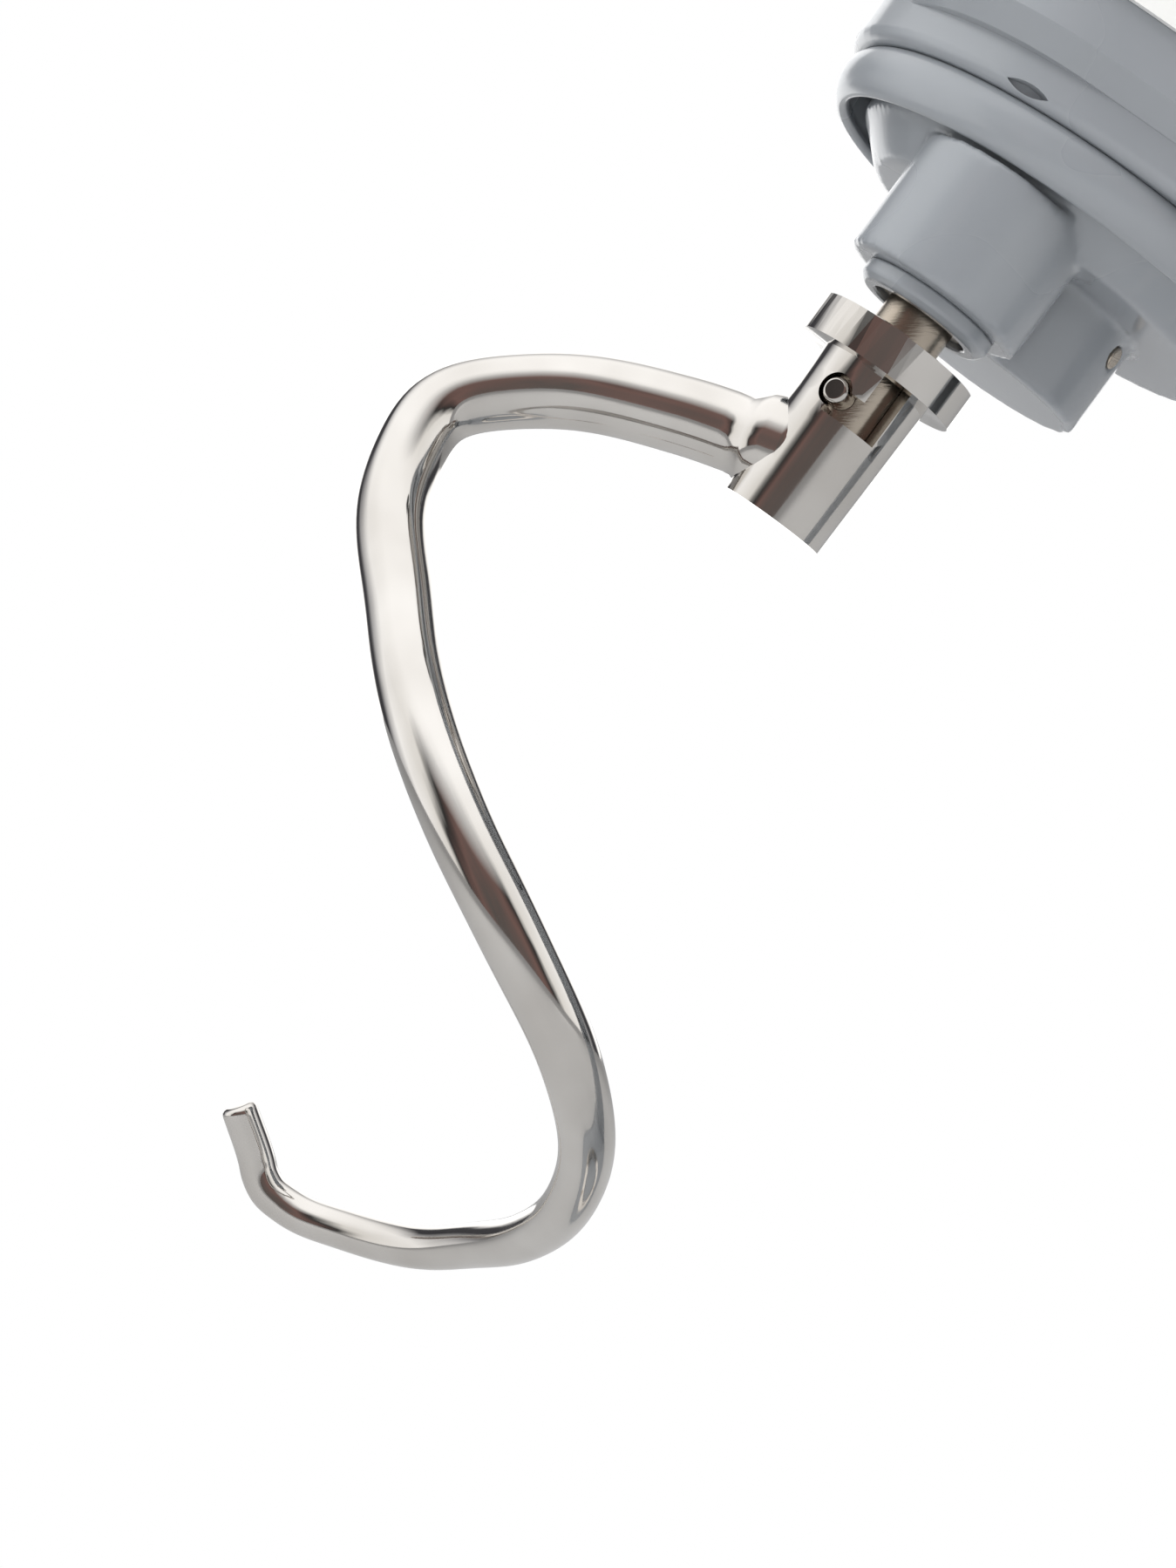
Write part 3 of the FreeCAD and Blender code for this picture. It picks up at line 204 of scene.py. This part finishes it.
def makeMachined():
    material, tree, shader = startMaterial("machinedSteel")
    shader.inputs["Metallic"].default_value = 1.0
    tintedBase(tree, shader, linear(120, 121, 124), linear(150, 151, 153), 50.0)
    patchyRoughness(tree, shader, 120.0, 0.32, 0.45)
    lines = useGroup(tree, scratchGroup, Stretch=(900.0, 60.0, 60.0), Strength=0.2, Distance=0.0003)
    tree.links.new(lines.outputs["Normal"], shader.inputs["Normal"])
    return material


def makeBronze():
    material, tree, shader = startMaterial("sinteredBronze")
    shader.inputs["Metallic"].default_value = 1.0
    tintedBase(tree, shader, linear(150, 112, 62), linear(176, 136, 82), 80.0)
    patchyRoughness(tree, shader, 300.0, 0.35, 0.5)
    return material


def makePlastic():
    material, tree, shader = startMaterial("blackMouldedPlastic")
    tintedBase(tree, shader, linear(26, 26, 28), linear(36, 36, 38), 40.0)
    patchyRoughness(tree, shader, 90.0, 0.35, 0.5)
    skin = useGroup(tree, skinGroup, Scale=1800.0, Strength=0.25, Distance=0.0002)
    tree.links.new(skin.outputs["Normal"], shader.inputs["Normal"])
    return material


def makeRubber():
    material, tree, shader = startMaterial("blackRubber")
    tintedBase(tree, shader, linear(30, 30, 31), linear(44, 44, 45), 60.0)
    patchyRoughness(tree, shader, 120.0, 0.65, 0.85)
    skin = useGroup(tree, skinGroup, Scale=900.0, Strength=0.4, Distance=0.0003)
    tree.links.new(skin.outputs["Normal"], shader.inputs["Normal"])
    return material


def makeTrim():
    material, tree, shader = startMaterial("paleTrim")
    tintedBase(tree, shader, linear(232, 233, 231), linear(240, 241, 239), 25.0)
    patchyRoughness(tree, shader, 60.0, 0.16, 0.26)
    skin = useGroup(tree, skinGroup, Scale=300.0, Strength=0.06, Distance=0.0005)
    tree.links.new(skin.outputs["Normal"], shader.inputs["Normal"])
    shader.inputs["Coat Weight"].default_value = 0.4
    shader.inputs["Coat Roughness"].default_value = 0.05
    return material


finishes = {
    "grey_paint": makeEnamel(), "bright_steel": makePolished(), "satin_nickel": makeNickel(),
    "dark_steel": makeMachined(), "bearing_bronze": makeBronze(), "black_plastic": makePlastic(),
    "black_rubber": makeRubber(), "pale_trim": makeTrim(),
}
slotOf = {part["node"]: part["material_slot"] for part in frame["record"]["subparts"]}
for name, node in nodes.items():
    node.data.materials.clear()
    node.data.materials.append(finishes[slotOf[name]])
print("materials ready")



def finishPiece(piece, body, slot, replaced=()):
    piece.data.materials.clear()
    piece.data.materials.append(finishes[slot])
    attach(piece, body)
    if replaced:
        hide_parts(*replaced)
    return piece


def newPiece(name, mesh):
    piece = bpy.data.objects.new(name, mesh)
    bpy.context.scene.collection.objects.link(piece)
    return piece


def applyModifiers(piece):
    graph = bpy.context.evaluated_depsgraph_get()
    graph.update()
    mesh = bpy.data.meshes.new_from_object(piece.evaluated_get(graph))
    mesh.name = piece.name
    piece.modifiers.clear()
    piece.data = mesh


def softenEdges(piece, width, segments=3, angle=32):
    bevel = piece.modifiers.new("edges", "BEVEL")
    bevel.width = width * mm
    bevel.segments = segments
    bevel.limit_method = "ANGLE"
    bevel.angle_limit = math.radians(angle)
    bevel.use_clamp_overlap = True
    bevel.miter_outer = "MITER_ARC"
    return bevel


def smoothByAngle(mesh, angle=32):
    mesh.shade_smooth()
    mesh.set_sharp_from_angle(angle=math.radians(angle))


def cleanCopy(node, name, flat=0.4):
    # a merged copy of a CAD node, with its flat faces joined again
    mesh = nodes[node].data.copy()
    mesh.name = name
    work = bmesh.new()
    work.from_mesh(mesh)
    bmesh.ops.remove_doubles(work, verts=work.verts, dist=0.00001)
    if flat:
        bmesh.ops.dissolve_limit(work, angle_limit=math.radians(flat), verts=work.verts, edges=work.edges)
    work.to_mesh(mesh)
    work.free()
    return newPiece(name, mesh)


def finishedCopy(node, name, width=0.5, angle=32):
    piece = cleanCopy(node, name, 0 if node in keptFacets else 0.4)
    smoothByAngle(piece.data, 40)
    if width:
        softenEdges(piece, width, 3, angle)
        tidy = piece.modifiers.new("shading", "WEIGHTED_NORMAL")
        tidy.keep_sharp = True
    return finishPiece(piece, bodyOf[node], slotOf[node], (node,))


def lathe(name, outline, place, steps=96):
    # outline points (radius, height) in mm are turned about the frame's Z axis
    work = bmesh.new()
    rings = []
    for radius, height in outline:
        if radius < 1e-6:
            rings.append([work.verts.new((0, 0, height * mm))])
            continue
        rings.append([work.verts.new((radius * mm * math.cos(2 * math.pi * step / steps),
                                      radius * mm * math.sin(2 * math.pi * step / steps), height * mm))
                      for step in range(steps)])
    closed = outline[0] == outline[-1]
    for first, second in zip(rings, rings[1:]):
        for step in range(steps):
            follow = (step + 1) % steps
            corners = []
            for ring, index in ((first, step), (first, follow), (second, follow), (second, step)):
                vert = ring[index % len(ring)]
                if vert not in corners:
                    corners.append(vert)
            if len(corners) > 2:
                work.faces.new(corners)
    if closed:
        bmesh.ops.remove_doubles(work, verts=work.verts, dist=1e-7)
    bmesh.ops.recalc_face_normals(work, faces=work.faces)
    work.transform(place)
    mesh = bpy.data.meshes.new(name)
    work.to_mesh(mesh)
    work.free()
    smoothByAngle(mesh, 30)
    return newPiece(name, mesh)



hook = {
    # turn from the rear towards the near side (deg), reach, drop, diameter (mm)
    "stations": [
        (190, 3, 24.5, 13.8), (191, 24, 30, 13.6), (190, 45, 39.5, 13.1), (184, 57, 53, 12.6),
        (176, 54, 68, 12.3), (156, 43.5, 82.5, 11.9), (128, 40, 94, 11.5), (101, 41.5, 103.5, 11.0),
        (78, 46, 112, 10.6), (58, 49.5, 121.5, 9.8), (40, 48.5, 133, 9.0), (23, 44, 145.5, 8.5),
        (3, 38, 157, 8.2), (-21, 34, 166.5, 7.9), (-46, 33, 176, 7.6), (-71, 33, 183, 7.3),
        (-91, 34.5, 186.8, 7.1), (-98, 35, 186.6, 7.0), (-102.5, 35.5, 185.2, 6.9),
        (-106, 35.8, 183.3, 6.8), (-118, 36.9, 177.6, 6.6)],
    "tipRound": 1.3, "around": 56, "between": 14,
    "socketReach": 9.9, "weldFlare": 2.0, "weldLength": 3.6,
    "smoothTurns": 420, "tipStations": 4, "collarReach": 14.9, "socketFoot": 35.9,
}


def splinePoints(points, steps):
    # a smooth course through all the points, with speeds set by the distances between them
    slopes = []
    for index, point in enumerate(points):
        before = points[max(index - 1, 0)]
        after = points[min(index + 1, len(points) - 1)]
        gapBefore = max((point - before).length, 1e-9)
        gapAfter = max((after - point).length, 1e-9)
        if index == 0:
            slopes.append((after - point) / gapAfter)
        elif index == len(points) - 1:
            slopes.append((point - before) / gapBefore)
        else:
            slopes.append(((point - before) / gapBefore * gapAfter + (after - point) / gapAfter * gapBefore)
                          / (gapBefore + gapAfter))
    course = []
    for index in range(len(points) - 1):
        start, end = points[index], points[index + 1]
        gap = (end - start).length
        for step in range(steps):
            t = step / steps
            course.append(start * (2 * t**3 - 3 * t**2 + 1) + slopes[index] * gap * (t**3 - 2 * t**2 + t)
                          + end * (3 * t**2 - 2 * t**3) + slopes[index + 1] * gap * (t**3 - t**2))
    course.append(points[-1])
    return course


def evenCourse(course):
    # takes the small waves out of the line and keeps its length, its start and the bent tip
    first, last = hook["between"], len(course) - hook["tipStations"] * hook["between"]
    for turn in range(hook["smoothTurns"]):
        for share in (0.5, -0.515):
            moved = [point.copy() for point in course]
            for index in range(first, last):
                moved[index] += ((course[index - 1] + course[index + 1]) / 2 - course[index]) * share
            course = moved
    return course


def makeHookRod():
    stations = [Vector((reach * math.cos(math.radians(turn)), -reach * math.sin(math.radians(turn)), -drop, thick))
                for turn, reach, drop, thick in hook["stations"]]
    course = evenCourse(splinePoints(stations, hook["between"]))
    places = [Vector(point[:3]) for point in course]
    radii = [point[3] / 2 for point in course]
    work = bmesh.new()
    rings = []
    across = Vector((0, 0, 1))
    count = hook["around"]
    for index, place in enumerate(places):
        along = (places[min(index + 1, len(places) - 1)] - places[max(index - 1, 0)]).normalized()
        across = (across - along * across.dot(along)).normalized()
        beside = along.cross(across)
        outside = math.hypot(place.x, place.y) - hook["socketReach"]
        flare = 0.0
        if outside < hook["weldLength"]:
            share = 1 - max(outside, 0) / hook["weldLength"]
            flare = hook["weldFlare"] * share * share
        radius = (radii[index] + flare) * mm
        rings.append([work.verts.new(place * mm + (across * math.cos(2 * math.pi * step / count)
                                                   + beside * math.sin(2 * math.pi * step / count)) * radius)
                      for step in range(count)])
    # rounded rim and flat end at the tip
    along = (places[-1] - places[-2]).normalized()
    beside = along.cross(across)
    for step in range(1, 7):
        way = math.pi / 2 * step / 6
        shrink = hook["tipRound"] * (1 - math.cos(way))
        push = hook["tipRound"] * math.sin(way)
        rings.append([work.verts.new((places[-1] + along * push) * mm
                                     + (across * math.cos(2 * math.pi * turn / count)
                                        + beside * math.sin(2 * math.pi * turn / count)) * (radii[-1] - shrink) * mm)
                      for turn in range(count)])
    for first, second in zip(rings, rings[1:]):
        for step in range(count):
            follow = (step + 1) % count
            work.faces.new((first[step], first[follow], second[follow], second[step]))
    work.faces.new(rings[-1])
    work.faces.new(list(reversed(rings[0])))
    bmesh.ops.recalc_face_normals(work, faces=work.faces)
    work.transform(hookFrame)
    mesh = bpy.data.meshes.new("hookRod")
    work.to_mesh(mesh)
    work.free()
    mesh.shade_smooth()
    return newPiece("hookRod", mesh)


def makeHookSocket():
    # the socket with its collar and bayonet slot, cut from the CAD hook inside its collar's reach
    socket = cleanCopy("dough_hook", "hookSocket")
    collar, foot, waist = hook["collarReach"], hook["socketFoot"], hook["socketReach"] + 0.4
    cutter = lathe("socketReach", [(0, 1), (collar, 1), (collar, -8.2), (waist, -8.2), (waist, -foot - 0.2),
                                   (0, -foot - 0.2)], hookFrame, 128)
    cut = socket.modifiers.new("reach", "BOOLEAN")
    cut.operation = "INTERSECT"
    cut.solver = "EXACT"
    cut.object = cutter
    applyModifiers(socket)
    bpy.data.objects.remove(cutter)
    smoothByAngle(socket.data, 35)
    softenEdges(socket, 0.35, 3, 40)
    return socket


hookRod = makeHookRod()
finishPiece(hookRod, "agitator", "bright_steel")
finishPiece(makeHookSocket(), "agitator", "bright_steel", ("dough_hook",))
print("hook ready")


hub = {"voxel": 0.7, "smooth": 0.5, "turns": 14}


def makePlanetaryHub():
    # a casting: its inner corners run into each other in soft fillets
    piece = cleanCopy("planetary_hub", "planetaryHub")
    remesh = piece.modifiers.new("cast", "REMESH")
    remesh.mode = "VOXEL"
    remesh.voxel_size = hub["voxel"] * mm
    remesh.use_smooth_shade = True
    soft = piece.modifiers.new("fillets", "SMOOTH")
    soft.factor = hub["smooth"]
    soft.iterations = hub["turns"]
    applyModifiers(piece)
    piece.data.shade_smooth()
    return finishPiece(piece, "planetary", "grey_paint", ("planetary_hub",))


makePlanetaryHub()
print("planetary hub ready")


knurls = {"barrelKnob": {"count": 24, "radius": 8.75, "rib": 0.55, "length": 6.5}}


def buildRibTree():
    # straight ribs round a knob
    tree = bpy.data.node_groups.new("knobRibs", "GeometryNodeTree")
    tree.interface.new_socket("Geometry", in_out="INPUT", socket_type="NodeSocketGeometry")
    for label, kind in (("Count", "NodeSocketInt"), ("Radius", "NodeSocketFloat"), ("Rib", "NodeSocketFloat"),
                        ("Length", "NodeSocketFloat"), ("Finish", "NodeSocketMaterial")):
        tree.interface.new_socket(label, in_out="INPUT", socket_type=kind)
    tree.interface.new_socket("Geometry", in_out="OUTPUT", socket_type="NodeSocketGeometry")
    given, out = tree.nodes.new("NodeGroupInput"), tree.nodes.new("NodeGroupOutput")
    ring = addNode(tree, "GeometryNodeMeshCircle", {"Vertices": given.outputs["Count"],
                                                    "Radius": given.outputs["Radius"]})
    rib = addNode(tree, "GeometryNodeMeshCylinder", {"Radius": given.outputs["Rib"],
                                                     "Depth": given.outputs["Length"]}, in_Vertices=10)
    spread = addNode(tree, "GeometryNodeInstanceOnPoints", {"Points": ring.outputs["Mesh"],
                                                            "Instance": rib.outputs["Mesh"]})
    real = addNode(tree, "GeometryNodeRealizeInstances", {"Geometry": spread.outputs["Instances"]})
    dressed = addNode(tree, "GeometryNodeSetMaterial", {"Geometry": real.outputs["Geometry"],
                                                        "Material": given.outputs["Finish"]})
    tree.links.new(dressed.outputs["Geometry"], out.inputs["Geometry"])
    return tree


def makeRibs(name, node, sizes, place):
    piece = newPiece(name, bpy.data.meshes.new(name))
    ribs = piece.modifiers.new("ribs", "NODES")
    ribs.node_group = ribTree
    given = {"Count": sizes["count"], "Radius": sizes["radius"] * mm, "Rib": sizes["rib"] * mm,
             "Length": sizes["length"] * mm, "Finish": finishes[slotOf[node]]}
    for item in ribTree.interface.items_tree:
        if item.in_out == "INPUT" and item.name in given:
            ribs[item.identifier] = given[item.name]
    applyModifiers(piece)
    piece.data.transform(place)
    piece.data.shade_smooth()
    return finishPiece(piece, bodyOf[node], slotOf[node])


ribTree = buildRibTree()
low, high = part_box("barrel_knob")
knobMiddle = Vector(((low[0] + high[0]) / 2, low[1] + 0.0052, (low[2] + high[2]) / 2))
makeRibs("barrelKnobRibs", "barrel_knob", knurls["barrelKnob"],
         Matrix.Translation(knobMiddle) @ Matrix.Rotation(math.pi / 2, 4, "X"))
print("knob ribs ready")



keptFacets = ("base_casting", "bowl_plate")  # their pierced flat faces stay divided
softened = {
    "cross_pin": ("hookCrossPin", 0.2), "agitator_shaft": ("hookShaft", 0.2),
    "shaft_clip": ("springClip", 0.1), "boss_ring": ("bossRing", 0.5),
    "hub_pin": ("hubPin", 0.3), "drip_ring": ("dripRing", 0.5), "lower_casting": ("lowerCasting", 0.8),
    "upper_casting": ("upperCasting", 0.8), "rear_cover": ("rearCover", 0.5), "trim_band": ("trimBand", 0.4),
    "attachment_barrel": ("attachmentBarrel", 0.6), "barrel_cap": ("barrelCap", 0.5),
    "barrel_cap_pin": ("barrelCapPin", 0.2), "barrel_knob": ("barrelKnob", 0.5),
    "speed_plate": ("speedPlate", 0.3), "speed_lever": ("speedLever", 0.5), "lock_lever": ("lockLever", 0.6),
    "brush_cap_1": ("brushCapNear", 0.3), "brush_cap_2": ("brushCapFar", 0.3), "base_casting": ("baseCasting", 1.2),
    "bowl_plate": ("bowlPlate", 0.5), "base_cover": ("baseCover", 0.3), "hinge_pin": ("hingePin", 0.6),
    "height_screw": ("heightScrew", 0.3), "cord_gland": ("cordGland", 0.5), "rear_cover_screw": ("rearScrew", 0.3),
}
for number in range(1, 5):
    softened[f"rubber_foot_{number}"] = (f"rubberFoot{number}", 0.6)
for number in range(1, 4):
    softened[f"bowl_plate_screw_{number}"] = (f"plateScrew{number}", 0.2)
for node, (name, width) in softened.items():
    finishedCopy(node, name, width)
print("carried-over pieces ready")



studio = {"lens": 62.0, "turn": 6.0, "distance": 0.449, "right": 0.0517, "up": 0.0728,
          # the floor share below is how much of a painted grey reflection glossy rays see on the floor
          "mirrorLift": 0.75, "roomLight": 0.75, "floorPaintedReflectionShare": 0.45,
          "roomShades": ((0.10, (0.16, 0.10, 0.09)), (0.2, (0.03, 0.03, 0.03)), (0.28, (0.75, 0.74, 0.72)),
                         (0.55, (0.9, 0.9, 0.9)), (0.72, (0.35, 0.35, 0.36)), (0.8, (0.04, 0.04, 0.045)),
                         (0.88, (0.05, 0.05, 0.055)), (0.92, (1.0, 1.0, 1.0)))}


def makeCamera():
    turn = math.radians(studio["turn"])
    right = Vector((math.cos(turn), math.sin(turn), 0))
    forward = Vector((-math.sin(turn), math.cos(turn), 0))
    place = hookTop - right * studio["right"] - Vector((0, 0, studio["up"])) - forward * studio["distance"]
    data = bpy.data.cameras.new("camera")
    data.lens = studio["lens"]
    data.sensor_width = 36
    data.clip_start = 0.01
    camera = bpy.data.objects.new("camera", data)
    camera.location = place
    camera.rotation_euler = forward.to_track_quat("-Z", "Y").to_euler()
    bpy.context.scene.collection.objects.link(camera)
    bpy.context.scene.camera = camera


def makeFloor():
    material, tree, shader = startMaterial("paleFloor")
    tintedBase(tree, shader, linear(236, 236, 236), linear(240, 240, 240), 2.0)
    shader.inputs["Roughness"].default_value = 0.7
    seen = addNode(tree, "ShaderNodeLightPath")
    white = addNode(tree, "ShaderNodeEmission", in_Strength=1.0)
    place = addNode(tree, "ShaderNodeTexCoord")
    reach = addNode(tree, "ShaderNodeVectorMath", {0: place.outputs["Object"]}, operation="LENGTH")
    far = addNode(tree, "ShaderNodeMapRange", {"Value": reach.outputs["Value"]},
                  in_From_Min=0.35, in_From_Max=0.58)
    both = addNode(tree, "ShaderNodeMath", {0: far.outputs["Result"], 1: seen.outputs["Is Camera Ray"]},
                   operation="MULTIPLY")
    mix = addNode(tree, "ShaderNodeMixShader", {0: both.outputs["Value"], 1: shader.outputs["BSDF"],
                                                2: white.outputs["Emission"]})
    # painted reflection: glossy rays see part of the floor as a fixed mid-grey glow instead of its lit colour, so the
    # lower side of polished steel keeps some tone as painted shade
    paintedReflectionGrey = addNode(tree, "ShaderNodeEmission", in_Color=linear(128, 130, 133), in_Strength=1.0)
    share = addNode(tree, "ShaderNodeMath", {0: seen.outputs["Is Glossy Ray"]}, operation="MULTIPLY")
    share.inputs[1].default_value = studio["floorPaintedReflectionShare"]
    shown = addNode(tree, "ShaderNodeMixShader", {0: share.outputs["Value"], 1: mix.outputs["Shader"],
                                                  2: paintedReflectionGrey.outputs["Emission"]})
    tree.links.new(shown.outputs["Shader"], tree.nodes["Material Output"].inputs["Surface"])
    work = bmesh.new()
    bmesh.ops.create_circle(work, cap_ends=True, segments=96, radius=12)
    mesh = bpy.data.meshes.new("floor")
    work.to_mesh(mesh)
    work.free()
    mesh.materials.append(material)
    floor = newPiece("floor", mesh)


def makeWorld():
    world = bpy.data.worlds.new("studio")
    bpy.context.scene.world = world
    world.use_nodes = True
    tree = world.node_tree
    tree.nodes.clear()
    seen = addNode(tree, "ShaderNodeLightPath")
    place = addNode(tree, "ShaderNodeTexCoord")
    height = addNode(tree, "ShaderNodeSeparateXYZ", {"Vector": place.outputs["Generated"]})
    # a soft studio: a bright sweep behind, dark flags at its sides, soft boxes, a dim room in front
    ripple = addNode(tree, "ShaderNodeTexNoise", {"Vector": place.outputs["Generated"]},
                     in_Scale=2.2, in_Detail=2.0)
    shifted = addNode(tree, "ShaderNodeMath", {0: ripple.outputs["Fac"]},
                      operation="MULTIPLY_ADD")
    shifted.inputs[1].default_value = 0.35
    tree.links.new(height.outputs["Y"], shifted.inputs[2])
    depth = addNode(tree, "ShaderNodeMapRange", {"Value": shifted.outputs["Value"]},
                    in_From_Min=-0.83, in_From_Max=1.17)
    ramp = addNode(tree, "ShaderNodeValToRGB", {"Fac": depth.outputs["Result"]})
    stops = ramp.color_ramp.elements
    stops[0].position, stops[0].color = 0.0, (0.10, 0.085, 0.08, 1)
    stops[1].position, stops[1].color = 1.0, (1.1, 1.1, 1.1, 1)
    for spot, shade in studio["roomShades"]:
        stop = stops.new(spot)
        stop.color = (*shade, 1)
    above = addNode(tree, "ShaderNodeMapRange", {"Value": height.outputs["Z"]},
                    in_From_Min=0.55, in_From_Max=0.9)
    lit = addNode(tree, "ShaderNodeMix", {"Factor": above.outputs["Result"]}, data_type="RGBA")
    shades = [socket for socket in lit.inputs if socket.type == "RGBA"]
    tree.links.new(ramp.outputs["Color"], shades[0])
    shades[1].default_value = (1.0, 1.0, 1.0, 1)
    litColour = [socket for socket in lit.outputs if socket.type == "RGBA"][0]
    shine = addNode(tree, "ShaderNodeMath", {0: seen.outputs["Is Glossy Ray"]}, operation="MULTIPLY_ADD")
    shine.inputs[1].default_value, shine.inputs[2].default_value = studio["mirrorLift"], studio["roomLight"]
    room = addNode(tree, "ShaderNodeBackground", {"Color": litColour, "Strength": shine.outputs["Value"]})
    white = addNode(tree, "ShaderNodeBackground", in_Color=(1, 1, 1, 1), in_Strength=1.0)
    mix = addNode(tree, "ShaderNodeMixShader", {0: seen.outputs["Is Camera Ray"], 1: room.outputs["Background"],
                                                2: white.outputs["Background"]})
    addNode(tree, "ShaderNodeOutputWorld", {"Surface": mix.outputs["Shader"]})


def makeLamp(name, place, aim, size, power, tint=(1, 1, 1)):
    data = bpy.data.lights.new(name, "AREA")
    data.shape = "RECTANGLE"
    data.size, data.size_y = size
    data.energy = power
    data.color = tint
    lamp = bpy.data.objects.new(name, data)
    lamp.location = place
    lamp.visible_glossy = False  # the steel shows the room's soft boxes instead
    lamp.rotation_euler = (Vector(aim) - Vector(place)).to_track_quat("-Z", "Y").to_euler()
    bpy.context.scene.collection.objects.link(lamp)


makeCamera()
makeFloor()
makeWorld()
makeLamp("keyLamp", (-1.2, -1.1, 1.5), (0, 0, 0.3), (1.9, 1.9), 30)
makeLamp("fillLamp", (1.4, -1.2, 0.9), (0, 0, 0.3), (1.6, 2.0), 14)
makeLamp("topLamp", (0.1, 0.3, 2.0), (0, 0, 0.2), (2.4, 2.0), 18)
bpy.context.scene.view_settings.view_transform = "Standard"
print("studio ready")
